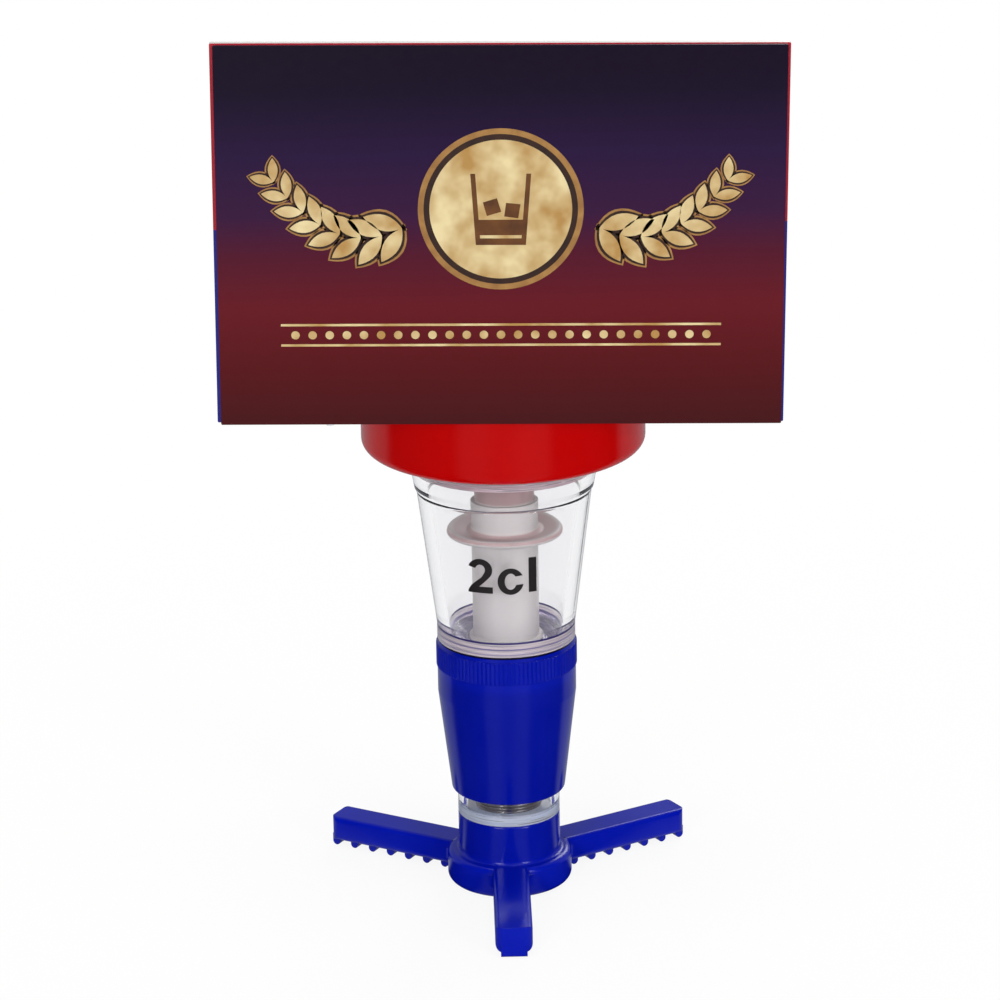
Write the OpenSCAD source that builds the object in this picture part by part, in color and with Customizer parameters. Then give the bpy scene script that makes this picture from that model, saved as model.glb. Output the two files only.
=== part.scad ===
// Measured spirit pourer for an upside-down bottle, standing on its three lifter arms.
// Millimetres, +Z up. The axis of the pourer is the Z axis, the sign faces -Y and Z = 0 is the
// surface that the arms stand on. A glass pushed up against the arms lifts hub, slider tube and
// spindle: the spindle covers the inlet ports first and then opens the chamber's outlet.

/* [Lifter hub] */
// Diameter of the hub's flange
hub_d = 28.2; // [27.6:0.1:32]
// Height of the flange and of the tops of the arms
hub_h = 7.2; // [6.6:0.1:9]
// Height of the ring above the flange, round the slider's spigot
ring_h = 9.4; // [9:0.1:14]
// Wall of that ring
ring_wall = 2; // [1.2:0.1:2.4]
// Rounding of the hub's lower edge
hub_edge_r = 1.8; // [0.5:0.1:2]
// Rounding of the flange's upper edge
hub_top_r = 1.3; // [1.1:0.1:1.6]
// Radius of the hollow corner between flange and ring
ring_root_r = 0.7; // [0.3:0.1:0.8]
// Bevel round the top of the ring
ring_bevel = 0.4; // [0.2:0.1:0.8]
// Bore of the outlet
outlet_d = 15; // [14.4:0.1:16]
// Depth of the outlet below the throat
outlet_h = 2.6; // [1.5:0.1:3]
// Bore of the throat above the outlet
throat_d = 14; // [12:0.1:14.2]
// Wall of the spout round the outlet
spout_wall = 1.6; // [1:0.1:2]
// Wall of the flange outside the moulded groove
rim_wall = 2.2; // [2:0.1:3]
// Depth of the moulded groove under the flange
groove_h = 4.4; // [2:0.1:5]
// Diameter of the boss that carries the spindle
boss_d = 7; // [5.6:0.1:8]
// Height of the boss's lower face above the feet
boss_z = 4.6; // [4.4:0.1:5.6]
// Thickness of the three webs that hold the boss
boss_web_t = 1.4; // [1:0.1:2]
// Setback of the webs from the ends of the boss
boss_web_set = 0.5; // [0.2:0.1:1]

/* [Arms] */
// Angle by which the arms are turned about the axis
arm_turn = 0.8; // [-30:0.1:30]
// Reach of each arm from the axis
arm_reach = 45.3; // [36:0.1:56]
// Width of an arm
arm_w = 8.2; // [7:0.1:10]
// Height of an arm without its teeth
arm_h = 5.8; // [4:0.1:6]
// Rounding along the upper edges
arm_top_r = 1; // [0.3:0.1:1]
// Rounding along the lower edges
arm_low_r = 1.4; // [0.3:0.1:2]
// Rounding of the tip, seen from above
tip_r = 2; // [0.5:0.1:3.5]
// Width of a tooth along the arm
tooth_w = 1.9; // [1.2:0.1:2.6]
// Length of a tooth across the arm
tooth_l = 5.8; // [4:0.1:6.6]
// Pitch of the teeth
tooth_pitch = 4.8; // [3.4:0.1:7]
// Radius of the hollow corners between arm and hub
arm_root_r = 1.8; // [0.8:0.1:2.4]
// Setback of those corners from the arm's and the flange's roundings
arm_root_set = 0.2; // [0.1:0.05:0.4]

/* [Slider tube] */
// Outer diameter of the slider tube and of the hub's ring
slider_d = 22.96; // [22:0.02:23.4]
// Wall of the slider tube
slider_wall = 1.9; // [1.2:0.1:2.6]
// Height of the slider tube above the hub's ring
slider_h = 15.4; // [12:0.1:18]
// Thickness of the floor that carries the spring
slider_floor_t = 1.1; // [1:0.1:2.4]
// Bore through that floor
slider_bore_d = 11; // [8:0.1:11.4]
// Overhang of the stop lip at the top of the tube
lip_w = 0.6; // [0.3:0.05:0.6]
// Thickness of the stop lip
lip_t = 1.8; // [1:0.1:2.6]
// Depth of the spigot in the hub's ring
spigot_h = 7; // [4:0.1:8]
// Wall of the spigot
spigot_wall = 1.5; // [1:0.1:1.9]

/* [Sleeve] */
// Height of the sleeve
sleeve_h = 35.9; // [32:0.1:42]
// Diameter of the sleeve above its taper
sleeve_d = 31; // [29.8:0.1:34]
// Diameter at the foot of the taper
foot_d = 25.6; // [25.4:0.1:29]
// Height of the taper
taper_h = 23.6; // [10:0.1:26]
// Rounding of the sleeve's lower edge
foot_edge_r = 0.8; // [0.3:0.1:1.2]
// Open height between the hub's ring and the sleeve at rest
lift_gap = 5.6; // [5.6:0.1:7]
// Height of the knurled band
knurl_h = 5.2; // [2:0.1:7]
// Number of ribs round the knurled band
knurl_n = 100; // [40:4:120]
// Height of a rib
knurl_depth = 0.26; // [0.1:0.02:0.4]
// Height of the bevelled lip above the knurled band
knurl_lip = 0.85; // [0.4:0.05:2]

/* [Chamber] */
// Diameter of the chamber's base ring
base_d = 30.86; // [29.6:0.02:33]
// Height of the base ring
base_h = 3.35; // [1:0.05:6]
// Thickness of the gasket between sleeve and chamber
base_gasket_t = 0.45; // [0.3:0.05:1]
// Set-back of that gasket from the edge of the base ring
base_gasket_set = 1.1; // [0.5:0.1:1.2]
// Height of the chamber from base ring to rim
chamber_h = 51.5; // [46:0.1:60]
// Diameter at the step line
line_d = 38.9; // [38:0.1:41]
// Height of the step line above the base
line_h = 35.05; // [30:0.05:38]
// Width of the step
line_step = 0.4; // [0.1:0.05:0.6]
// Rounding of the wall's edge under the step
line_round = 0.6; // [0.4:0.1:2]
// Diameter of the screw rim under the collar
rim_d = 43; // [41.6:0.1:46]
// Height of the screw rim
rim_h = 7; // [4:0.1:9]
// Height of the measuring floor above the base
floor_h = 2.4; // [2:0.05:4]
// Diameter of the cavity at its floor
cavity_low_d = 25.3; // [23.8:0.1:26.4]
// Diameter of the cavity under the lid
cavity_top_d = 34.5; // [33:0.1:35.8]
// Rounding at the cavity's floor
cavity_r = 0.5; // [0.3:0.1:1.6]
// Diameter of the well round the outlet
well_d = 18.4; // [17.8:0.1:20]
// Depth of the well below the floor
well_h = 2.7; // [1:0.1:3.4]
// Bore of the outlet in the well
port_d = 12.12; // [11.9:0.02:12.6]
// Length of that bore
land_h = 5.2; // [4.4:0.1:6]
// Diameter of the screw neck in the sleeve
neck_d = 24.8; // [24.4:0.1:24.8]
// Height of the screw neck
neck_h = 12.5; // [8:0.1:18]
// Bore of the screw neck
neck_bore_d = 20.4; // [17:0.1:21.6]
// Bore of the rim, in which the lid sits
socket_d = 36.4; // [36:0.1:38]
// Depth of the lid below the rim
socket_h = 11.75; // [8:0.05:13]

/* [Lid and inlet] */
// Thickness of the gasket between rim and lid
gasket_t = 1; // [0.5:0.1:2]
// Thickness of the lid's flange
lid_flange_t = 2; // [1:0.1:3]
// Thickness of the lid's floor
lid_t = 2.2; // [1.4:0.1:4]
// Wall of the lid
lid_wall = 1.75; // [1:0.05:3]
// Bore of the inlet tube
inlet_bore_d = 9.2; // [7:0.1:9.6]
// Length of the inlet tube below the lid
inlet_drop = 18.3; // [12:0.1:22]
// Diameter of the inlet tube's shoulder between lid and collar
shoulder_d = 15.6; // [14.4:0.1:18]
// Diameter of the inlet tube in the stopper
core_d = 12; // [10.8:0.1:12.6]
// Height of the inlet tube above the collar's floor
core_h = 36; // [34:0.5:60]
// Thickness of the inlet seal
inlet_seal_t = 1; // [0.5:0.1:2]
// Diameter of the inlet seal
inlet_seal_d = 17.6; // [16:0.1:20]
// Number of inlet ports, spread over the back half of the tube
inlet_ports = 3; // [1:1:3]
// Width of an inlet port
inlet_port_w = 3; // [1.5:0.1:4]
// Height of an inlet port
inlet_port_h = 2.6; // [1:0.1:3]
// Drop from the lid to the top of the ports
inlet_port_drop = 3.1; // [2:0.1:3.4]

/* [Spindle] */
// Outer diameter of the spindle's tube
spindle_d = 14.82; // [14:0.02:16]
// Wall of the spindle's tube
spindle_wall = 0.78; // [0.6:0.02:1.1]
// Drop from the lid to the top of the spindle at rest
spindle_drop = 6.6; // [6:0.1:8]
// Diameter of the valve head
head_d = 25.8; // [20:0.1:26.6]
// Drop from the top of the spindle to the head's rim
head_drop = 6.8; // [5:0.1:12]
// Thickness of the head's rounded rim
head_rim_t = 1.5; // [0.8:0.1:2.6]
// Height of the cone under the head's rim
head_cone_h = 1.6; // [1:0.1:6]
// Depth of the dish in the head's upper face
head_dish = 0.7; // [0.2:0.1:1.2]
// Rounding between dish and tube
head_fillet = 1.3; // [0.5:0.1:3]
// Diameter of the foot bead
bead_d = 16.6; // [15.4:0.1:17.4]
// Height of the foot bead
bead_h = 1.3; // [0.8:0.1:2]
// Thickness of the closed end under the spindle's bore
spindle_end_t = 4; // [2:0.1:8]
// Diameter of the plug in the chamber's outlet
plug_d = 11.2; // [10.6:0.1:11.6]
// Height of the plug below the bead
plug_h = 5.5; // [4.6:0.1:5.6]
// Thickness of the outlet ring's section
seal_d = 1.6; // [1:0.05:2]
// Height of the plug's lip under the outlet ring
groove_lip = 0.6; // [0.4:0.1:1]
// Diameter of the stem
stem_d = 6; // [5:0.1:7]

/* [Spring] */
// Outer diameter of the return spring
spring_d = 15; // [13.6:0.1:15.6]
// Diameter of its wire
wire_d = 0.7; // [0.5:0.05:0.7]
// Number of curls
curls = 12; // [9:1:14]
// Number of close curls at each end
end_curls = 3; // [1:1:3]
// Pitch of the close curls
end_pitch = 1.15; // [1.15:0.05:1.6]
// Thickness of the washer above the spring
seat_t = 0.8; // [0.5:0.1:1.5]

/* [Spindle screw] */
// Diameter of the screw's shank
screw_d = 2.4; // [2:0.1:2.8]
// Length of the shank
screw_l = 13; // [10:0.5:20]
// Diameter of the screw's head
screw_head_d = 5; // [4:0.1:5.4]
// Height of the screw's head
screw_head_h = 1.7; // [1:0.1:1.8]
// Length of the cross slot's arms
slot_l = 3.2; // [2:0.1:3.6]
// Width of the cross slot's arms
slot_w = 0.8; // [0.5:0.1:1]

/* [Collar] */
// Diameter of the collar
collar_d = 62.6; // [56:0.1:72]
// Height of the collar
collar_h = 26; // [22:0.1:34]
// Wall of the collar
collar_wall = 3; // [2.8:0.1:5]
// Rounding of the collar's lower edge
collar_edge_r = 2.6; // [1:0.1:2.7]
// Rounding of the collar's upper edge
collar_top_r = 0.8; // [0.2:0.1:1.4]
// Thickness of the collar's floor
collar_floor_t = 2.6; // [1.6:0.1:4]
// Drop of the collar below the chamber's rim
collar_drop = 6.85; // [5:0.05:9]
// Wall of the screw skirt inside the collar
skirt_wall = 2.3; // [1.4:0.1:3]
// Rise of the screw skirt above the collar's lower edge
skirt_rise = 1.2; // [0.5:0.1:3]
// Number of ribs between skirt and wall
collar_ribs = 6; // [3:1:12]
// Thickness of those ribs
collar_rib_t = 1.6; // [1:0.1:3]
// Height of those ribs
collar_rib_h = 6; // [2:0.1:7]

/* [Stopper] */
// Diameter of the flange on which the bottle's mouth rests
stopper_flange_d = 30; // [24:0.5:36]
// Thickness of that flange
stopper_flange_t = 2; // [1:0.1:3]
// Diameter of the plain band that fills the neck
band_d = 19; // [17:0.1:22]
// Height of the plain band
band_h = 8; // [6:0.1:12]
// Diameter of the gripping ribs, at the band
grip_d = 18.9; // [18.2:0.1:19]
// Loss of diameter from one rib to the next
grip_taper = 0.3; // [0:0.05:0.4]
// Diameter between the ribs
root_d = 16; // [14.4:0.1:16]
// Number of gripping ribs
grip_n = 4; // [2:1:5]
// Pitch of the ribs
grip_pitch = 5; // [3.6:0.1:5]
// Thickness of a rib at its edge
grip_edge_t = 0.8; // [0.5:0.1:1.2]

/* [Sign] */
// Width of the sign plate
plate_w = 119.3; // [80:0.1:160]
// Height of the sign plate
plate_h = 81.3; // [70:0.1:110]
// Thickness of the sign plate
plate_t = 1.6; // [0.8:0.1:4]
// Width of the card
card_w = 118; // [80:0.1:160]
// Height of the card
card_h = 81.2; // [70:0.1:110]
// Thickness of the card
card_t = 0.8; // [0.4:0.1:2]
// Rounding of the corners of plate and card
sign_corner_r = 0.3; // [0.2:0.1:6]
// Height of the plate's lower edge above the collar's
sign_rise = 16.1; // [12:0.1:18]
// Angle at which the plate hangs out of square
plate_skew = 0.8; // [-2:0.05:2]
// Angle at which the card is stuck on
card_skew = 0.75; // [-2:0.05:2]
// Shift of the card to the right of the plate's middle
card_shift = 0.1; // [-2:0.1:2]
// Drop of the card below the plate's middle
card_sag = 0.2; // [-2:0.1:2]
// Diameter of the clear adhesive dots
dot_d = 2.7; // [2:0.1:8]
// Thickness of the dots
dot_t = 0.3; // [0.2:0.05:1]
// Distance of the dots from the card's middle, sideways
dot_x = 36; // [20:0.5:38]
// How far the lower dots reach past the card's lower edge
dot_peek = 0.6; // [0:0.05:1]
// Width of the clip's leaf
clip_w = 44; // [34:0.5:60]
// Height of the clip's leaf
clip_h = 50; // [30:0.5:60]
// Thickness of the clip
clip_t = 1.6; // [1:0.1:2.5]
// Width of the clip's hook
hook_w = 28; // [16:0.5:32]
// Depth of the hook inside the collar
hook_drop = 9; // [4:0.1:10]
// Height of the clip's leaf above the plate's lower edge
clip_rise = 2; // [1:0.1:6]
// Thickness of the foam pads
foam_t = 0.8; // [0.5:0.1:2]
// Width of a foam pad
foam_w = 16; // [8:0.5:16.5]
// Height of a foam pad
foam_h = 38; // [16:0.5:44]

/* [Clearances] */
// Radial running clearance of the slider tube in the sleeve
run_clear = 0.06; // [0.02:0.01:0.1]
// Radial clearance of pieces that are screwed, glued or pushed together
fit_clear = 0.05; // [0.02:0.01:0.1]
// Radial clearance of the spindle on the inlet tube
valve_clear = 0.08; // [0.04:0.01:0.1]
// Radial clearance of the outlet ring in its bore
seal_clear = 0.06; // [0.02:0.01:0.1]
// Open height left between stops and seats that only rest on each other
rest_gap = 0.1; // [0.05:0.05:0.3]
// Open height under the foot bead at rest
bead_gap = 0.3; // [0.1:0.05:0.6]
// Open height under the slider's spigot
spigot_gap = 0.3; // [0.1:0.05:0.6]

/* [Hidden] */
$fn = 96;
// How far a cutter reaches past the face that it cuts
over = 1;

RED = [0.74, 0.03, 0.03];
BLUE = [0.04, 0.09, 0.62];
WHITE = [0.86, 0.85, 0.86];
CLEAR = [0.86, 0.90, 0.95, 0.35];
STEEL = [0.62, 0.62, 0.65];
RUBBER = [0.16, 0.16, 0.18];
PALE = [0.80, 0.79, 0.76];

// Heights of the stack, from the feet upwards
ring_top = hub_h + ring_h;
ledge_z = ring_top - spigot_h - spigot_gap;
sleeve_z = ring_top + lift_gap;
lip_z = ring_top + slider_h - lip_t;
sleeve_top = sleeve_z + sleeve_h;
chamber_z = sleeve_top + base_gasket_t;
floor_z = chamber_z + floor_h;
well_z = floor_z - well_h;
land_z = well_z - land_h;
chamber_top = chamber_z + chamber_h;
lid_z = chamber_top - socket_h;
lid_flange_z = chamber_top + gasket_t;
collar_z = chamber_top - collar_drop;
web_z = lid_flange_z + lid_flange_t;
collar_floor_z = web_z + collar_floor_t;
collar_top = collar_z + collar_h;
bead_z = well_z + bead_gap;
plug_z = bead_z - plug_h;
spindle_top = lid_z - spindle_drop;
head_z = spindle_top - head_drop;
spring_low = ring_top + slider_floor_t + rest_gap;
spring_high = land_z - seat_t - rest_gap;

// Span of the hollow corners at the arms, measured down from the arms' tops
arm_root_high = hub_top_r + arm_root_set;
arm_root_low = arm_h - arm_low_r - arm_root_set;

// Radii that follow from a neighbour
ring_bore_r = slider_d / 2 - ring_wall;
spigot_r = ring_bore_r - fit_clear;
sleeve_bore_r = neck_d / 2 + fit_clear;
spindle_bore_r = spindle_d / 2 - spindle_wall;
inlet_r = spindle_bore_r - valve_clear;
seal_r = port_d / 2 - seal_clear - seal_d / 2;
lid_r = socket_d / 2 - fit_clear;
skirt_r = rim_d / 2 + fit_clear;
collar_r = collar_d / 2;

// Depths of the sign's layers in front of the axis
leaf_y = -collar_r - fit_clear;
foam_y = leaf_y - clip_t;
plate_y = foam_y - foam_t;
dot_y = plate_y - plate_t;
card_y = dot_y - dot_t;
sign_z = collar_z + sign_rise + plate_h / 2;
card_z = sign_z - card_sag;

// Points of an arc about c, from angle a0 to a1
function arc(c, r, a0, a1, n = 8) =
    [for (i = [0:n]) let (a = a0 + (a1 - a0) * i / n) c + r * [cos(a), sin(a)]];

// Revolved outline, given as points of radius and height
module turned(points) {
    rotate_extrude() polygon(points);
}

// Plain ring between two radii and two heights
module band(r_in, r_out, z0, z1) {
    rotate_extrude() translate([r_in, z0]) square([r_out - r_in, z1 - z0]);
}

// Rectangle on the X axis with its own roundings below and above
module rounded(w, h, r_low, r_top) {
    translate([-w / 2, r_low]) square([w, h - r_low - r_top]);
    translate([-w / 2 + r_low, 0]) square([w - 2 * r_low, h / 2]);
    translate([-w / 2 + r_top, h / 2]) square([w - 2 * r_top, h / 2]);
    for (s = [-1, 1]) {
        translate([s * (w / 2 - r_low), r_low]) circle(r_low);
        translate([s * (w / 2 - r_top), h - r_top]) circle(r_top);
    }
}

// Upright board with rounded corners, its back at y and turned about its middle
module board(w, h, t, y, x, z, skew) {
    translate([x, y, z]) rotate([0, skew, 0]) rotate([90, 0, 0])
        linear_extrude(t) translate([0, -h / 2]) rounded(w, h, sign_corner_r, sign_corner_r);
}

// One half-round tooth across an arm
module tooth(y) {
    r = tooth_w / 2;
    top = hub_h - arm_h + arm_low_r;
    translate([-tooth_l / 2, y, 0]) rotate([90, 0, 90]) linear_extrude(tooth_l) {
        translate([0, r]) circle(r);
        translate([-r, r]) square([tooth_w, top - r]);
    }
}

// One arm along -Y: a rounded bar with teeth underneath
module arm() {
    start = hub_d / 2 - rim_wall / 2;
    last = arm_reach - tooth_w / 2;
    count = floor((last - tooth_w / 2 - hub_d / 2) / tooth_pitch);
    intersection() {
        translate([0, -start, hub_h - arm_h]) rotate([90, 0, 0])
            linear_extrude(arm_reach - start) rounded(arm_w, arm_h, arm_low_r, arm_top_r);
        translate([0, -arm_reach, 0]) linear_extrude(hub_h + over)
            rounded(arm_w, arm_reach, tip_r, tip_r);
    }
    for (i = [0:count]) tooth(i * tooth_pitch - last);
    arm_root();
    mirror([1, 0, 0]) arm_root();
}

// Hollow corner between the right side of an arm and the hub
module arm_root() {
    reach = hub_d / 2 + arm_root_r;
    x = arm_w / 2 + arm_root_r;
    y = -sqrt(reach * reach - x * x);
    curve = arc([x, y], arm_root_r, 180, 180 - atan2(-y, x), 4);
    translate([0, 0, hub_h - arm_root_low]) linear_extrude(arm_root_low - arm_root_high)
        polygon(concat([2 * curve[0] - curve[1]], curve, [3 * curve[4] - 2 * curve[3]],
                       [[arm_w / 4, rim_wall - hub_d / 2]]));
}

// Blue hub: spout, flange and ring in one moulding, with three toothed arms
module hub() {
    r = hub_d / 2;
    edge = hub_edge_r;
    lip = hub_top_r;
    ring_r = slider_d / 2;
    spout_r = outlet_d / 2 + spout_wall;
    color(BLUE) {
        turned(concat(
            [[throat_d / 2, outlet_h], [outlet_d / 2, outlet_h], [outlet_d / 2, 0], [spout_r, 0],
             [spout_r, groove_h], [r - rim_wall, groove_h], [r - rim_wall, 0]],
            arc([r - edge, edge], edge, 270, 360),
            arc([r - lip, hub_h - lip], lip, 0, 90),
            arc([ring_r + ring_root_r, hub_h + ring_root_r], ring_root_r, 270, 180, 4),
            [[ring_r, ring_top - ring_bevel], [ring_r - ring_bevel, ring_top], [ring_bore_r, ring_top],
             [ring_bore_r, ledge_z], [throat_d / 2, ledge_z]]));
        for (a = [0, 120, 240]) rotate(a + arm_turn) {
            arm();
            translate([-boss_web_t / 2, -throat_d / 2 - spout_wall / 2, boss_z + boss_web_set])
                cube([boss_web_t, (throat_d + spout_wall) / 2 - boss_d / 2 + boss_web_t / 2,
                      ledge_z - boss_z - 2 * boss_web_set]);
        }
        band(screw_d / 2 + fit_clear, boss_d / 2, boss_z, ledge_z);
    }
}

// Screw that holds the spindle's stem to the hub's boss
module spindle_screw() {
    color(STEEL) difference() {
        union() {
            translate([0, 0, boss_z - screw_head_h]) cylinder(h = screw_head_h, d = screw_head_d);
            translate([0, 0, boss_z - screw_head_h / 2])
                cylinder(h = screw_l + screw_head_h / 2, d = screw_d);
        }
        for (a = [0, 90]) rotate(a)
            translate([-slot_l / 2, -slot_w / 2, boss_z - screw_head_h - over])
                cube([slot_l, slot_w, over + screw_head_h / 2]);
    }
}

// Clear tube that slides in the sleeve, with the spring's floor and a stop lip
module slider_tube() {
    r = slider_d / 2;
    bore_r = r - slider_wall;
    lip_r = r + lip_w;
    spigot_bore_r = spigot_r - spigot_wall;
    color(CLEAR) turned([
        [spigot_bore_r, ring_top - spigot_h], [spigot_r, ring_top - spigot_h], [spigot_r, ring_top],
        [r, ring_top], [r, lip_z], [lip_r, lip_z], [lip_r, lip_z + lip_t], [bore_r, lip_z + lip_t],
        [bore_r, ring_top + slider_floor_t], [slider_bore_d / 2, ring_top + slider_floor_t],
        [slider_bore_d / 2, ring_top], [spigot_bore_r, ring_top]
    ]);
}

// Route of the spring's wire, as angle and height: close curls, open curls, and close curls again
SPRING_R = spring_d / 2 - wire_d / 2;
RINGS_PER_CURL = 8;
WIRE_SIDES = 6;
wire_low = wire_d / 2 * cos(180 / WIRE_SIDES);
helix_low = spring_low + wire_low;
helix_high = spring_high - wire_low;
open_pitch = (helix_high - helix_low - 2 * end_curls * end_pitch) / (curls - 2 * end_curls);
function curl_z(t) = t <= end_curls ? helix_low + t * end_pitch
    : t >= curls - end_curls ? helix_high - (curls - t) * end_pitch
    : helix_low + end_curls * end_pitch + (t - end_curls) * open_pitch;
wire_route = [for (i = [0:curls * RINGS_PER_CURL])
    [i * 360 / RINGS_PER_CURL, curl_z(i / RINGS_PER_CURL)]];
function on_spring(p) = [SPRING_R * cos(p[0]), SPRING_R * sin(p[0]), p[1]];
wire_points = [for (p = wire_route) on_spring(p)];
function unit(v) = v / norm(v);
function wire_dir(i) = unit(wire_points[min(i + 1, len(wire_points) - 1)] - wire_points[max(i - 1, 0)]);

// Least open distance between parts of the wire that lie more than half a curl apart
spring_gap = min([for (i = [0:len(wire_points) - 1]) for (j = [i + 1:len(wire_points) - 1])
    if (wire_route[j][0] - wire_route[i][0] > 180) norm(wire_points[i] - wire_points[j]) - wire_d]);
echo(spring_gap = spring_gap);

// Steel return spring: one wire swept along its route
module return_spring() {
    n = len(wire_points);
    s = WIRE_SIDES;
    skin = [for (i = [0:n - 1]) let (
            out = [cos(wire_route[i][0]), sin(wire_route[i][0]), 0],
            side = cross(wire_dir(i), out))
        for (k = [0:s - 1])
            wire_points[i] + wire_d / 2 * (cos(360 * k / s) * out + sin(360 * k / s) * side)];
    faces = concat(
        [for (k = [1:s - 2]) [0, k, k + 1]],
        [for (i = [0:n - 2]) for (k = [0:s - 1]) let (a = i * s + k, b = i * s + (k + 1) % s)
            each [[a, a + s, b], [b, a + s, b + s]]],
        [for (k = [1:s - 2]) let (e = (n - 1) * s) [e, e + k + 1, e + k]]);
    color(STEEL) polyhedron(skin, faces);
}

// Washer between the spring and the underside of the chamber's floor
module spring_seat() {
    color(STEEL) band(port_d / 2, neck_bore_d / 2 - fit_clear, land_z - seat_t, land_z);
}

// Blue sleeve: screwed on the chamber's neck, knurled for the hand, guiding the slider tube
module sleeve() {
    r = sleeve_d / 2;
    guide_r = slider_d / 2 + run_clear;
    shoulder_z = lip_z - rest_gap;
    knurl_z = sleeve_top - knurl_lip - knurl_h;
    edge = foot_edge_r;
    foot_r = foot_d / 2;
    color(BLUE) {
        turned(concat(
            [[guide_r, sleeve_z]],
            arc([foot_r - edge, sleeve_z + edge], edge, 270, 360),
            [[r, sleeve_z + taper_h], [r, sleeve_top - knurl_lip], [r - knurl_lip / 2, sleeve_top],
             [sleeve_bore_r, sleeve_top], [sleeve_bore_r, shoulder_z], [guide_r, shoulder_z]]));
        difference() {
            translate([0, 0, knurl_z]) linear_extrude(knurl_h) polygon([
                for (i = [0:4 * knurl_n - 1])
                    let (a = 90 * i, out = r + knurl_depth * (1 - cos(a)) / 2)
                    out * [cos(a / knurl_n), sin(a / knurl_n)]
            ]);
            translate([0, 0, knurl_z - over])
                cylinder(h = knurl_h + 2 * over, r = (r + sleeve_bore_r) / 2);
        }
    }
}

// Thin soft gasket under the chamber's base ring
module base_gasket() {
    color(PALE) band(neck_d / 2 + fit_clear, base_d / 2 - base_gasket_set, sleeve_top, chamber_z);
}

// Clear measuring chamber: screw neck, floor with its well, conical wall, step line and screw rim
module chamber() {
    neck_r = neck_d / 2;
    base_r = base_d / 2;
    line_r = line_d / 2;
    line_z = chamber_z + line_h;
    rim_z = chamber_top - rim_h;
    low_r = cavity_low_d / 2;
    lean = atan((line_r - base_r) / (line_h - base_h));
    edge_z = line_z - line_round * sin(60);
    edge_r = line_r - (line_z - edge_z + line_round * sin(lean)) * tan(lean) - line_round * cos(lean);
    color(CLEAR) turned(concat(
        [[neck_bore_d / 2, chamber_z - neck_h], [neck_r, chamber_z - neck_h], [neck_r, chamber_z],
         [base_r, chamber_z], [base_r, chamber_z + base_h]],
        arc([edge_r, edge_z], line_round, -lean, 60),
        [[line_r + line_step, line_z + line_step], [rim_d / 2, rim_z], [rim_d / 2, chamber_top],
         [socket_d / 2, chamber_top], [socket_d / 2, lid_z], [cavity_top_d / 2, lid_z]],
        arc([low_r - cavity_r, floor_z + cavity_r], cavity_r, 0, -90),
        [[well_d / 2, well_z], [port_d / 2, well_z], [port_d / 2, land_z], [neck_bore_d / 2, land_z]]));
}

// White spindle: stem, plug with its groove, foot bead, tube and dished valve head
module spindle() {
    r = spindle_d / 2;
    rim_r = head_rim_t / 2;
    dish_z = head_z - head_dish;
    groove_r = seal_r - seal_d / 2;
    groove_z = plug_z + groove_lip;
    bevel = bead_h / 3;
    color(WHITE) difference() {
        turned(concat(
            [[0, ledge_z], [stem_d / 2, ledge_z], [stem_d / 2, plug_z], [plug_d / 2, plug_z],
             [plug_d / 2, groove_z], [groove_r, groove_z], [groove_r, groove_z + seal_d],
             [plug_d / 2, groove_z + seal_d], [plug_d / 2, bead_z], [bead_d / 2 - bevel, bead_z],
             [bead_d / 2, bead_z + bevel], [bead_d / 2, bead_z + bead_h - bevel],
             [bead_d / 2 - bevel, bead_z + bead_h], [r, bead_z + bead_h],
             [r, head_z - head_rim_t - head_cone_h]],
            arc([head_d / 2 - rim_r, head_z - rim_r], rim_r, -60, 90),
            arc([r + head_fillet, dish_z + head_fillet], head_fillet, 270, 180),
            [[r, spindle_top], [spindle_bore_r, spindle_top],
             [spindle_bore_r, bead_z + spindle_end_t], [0, bead_z + spindle_end_t]]));
        translate([0, 0, ledge_z - over])
            cylinder(h = screw_l + boss_z - ledge_z + 2 * over, d = screw_d + 2 * fit_clear);
    }
}

// Soft ring in the plug's groove that closes the outlet
module outlet_ring() {
    color(RUBBER) rotate_extrude()
        translate([seal_r, plug_z + groove_lip + seal_d / 2]) circle(d = seal_d);
}

// Flat ring between the chamber's rim and the lid's flange
module chamber_gasket() {
    color(PALE) band(socket_d / 2, rim_d / 2, chamber_top, lid_flange_z);
}

// Clear lid: a cup in the chamber's rim, hung by its flange
module chamber_lid() {
    color(CLEAR) turned([
        [inlet_r + fit_clear, lid_z], [lid_r, lid_z], [lid_r, lid_flange_z], [rim_d / 2, lid_flange_z],
        [rim_d / 2, web_z], [lid_r - lid_wall, web_z], [lid_r - lid_wall, lid_z + lid_t],
        [inlet_r + fit_clear, lid_z + lid_t]
    ]);
}

// Soft washer under the shoulder of the inlet tube
module inlet_seal() {
    z = lid_z + lid_t;
    color(PALE) band(inlet_r + fit_clear, inlet_seal_d / 2, z, z + inlet_seal_t);
}

// White tube from the stopper down into the spindle, with ports that the spindle covers
module inlet_tube() {
    core_r = core_d / 2;
    bore_r = inlet_bore_d / 2;
    seal_z = lid_z + lid_t + inlet_seal_t;
    tip_z = collar_floor_z + core_h;
    bevel = (core_r - bore_r) / 2;
    color(WHITE) difference() {
        turned([
            [bore_r, lid_z - inlet_drop], [inlet_r, lid_z - inlet_drop], [inlet_r, seal_z],
            [shoulder_d / 2, seal_z], [shoulder_d / 2, web_z], [core_r, web_z],
            [core_r, tip_z - bevel], [core_r - bevel, tip_z], [bore_r, tip_z]
        ]);
        for (i = [0:inlet_ports - 1]) rotate(90 + 60 * (i - (inlet_ports - 1) / 2))
            translate([0, -inlet_port_w / 2, lid_z - inlet_port_drop - inlet_port_h])
                cube([spindle_d, inlet_port_w, inlet_port_h]);
    }
}

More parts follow.
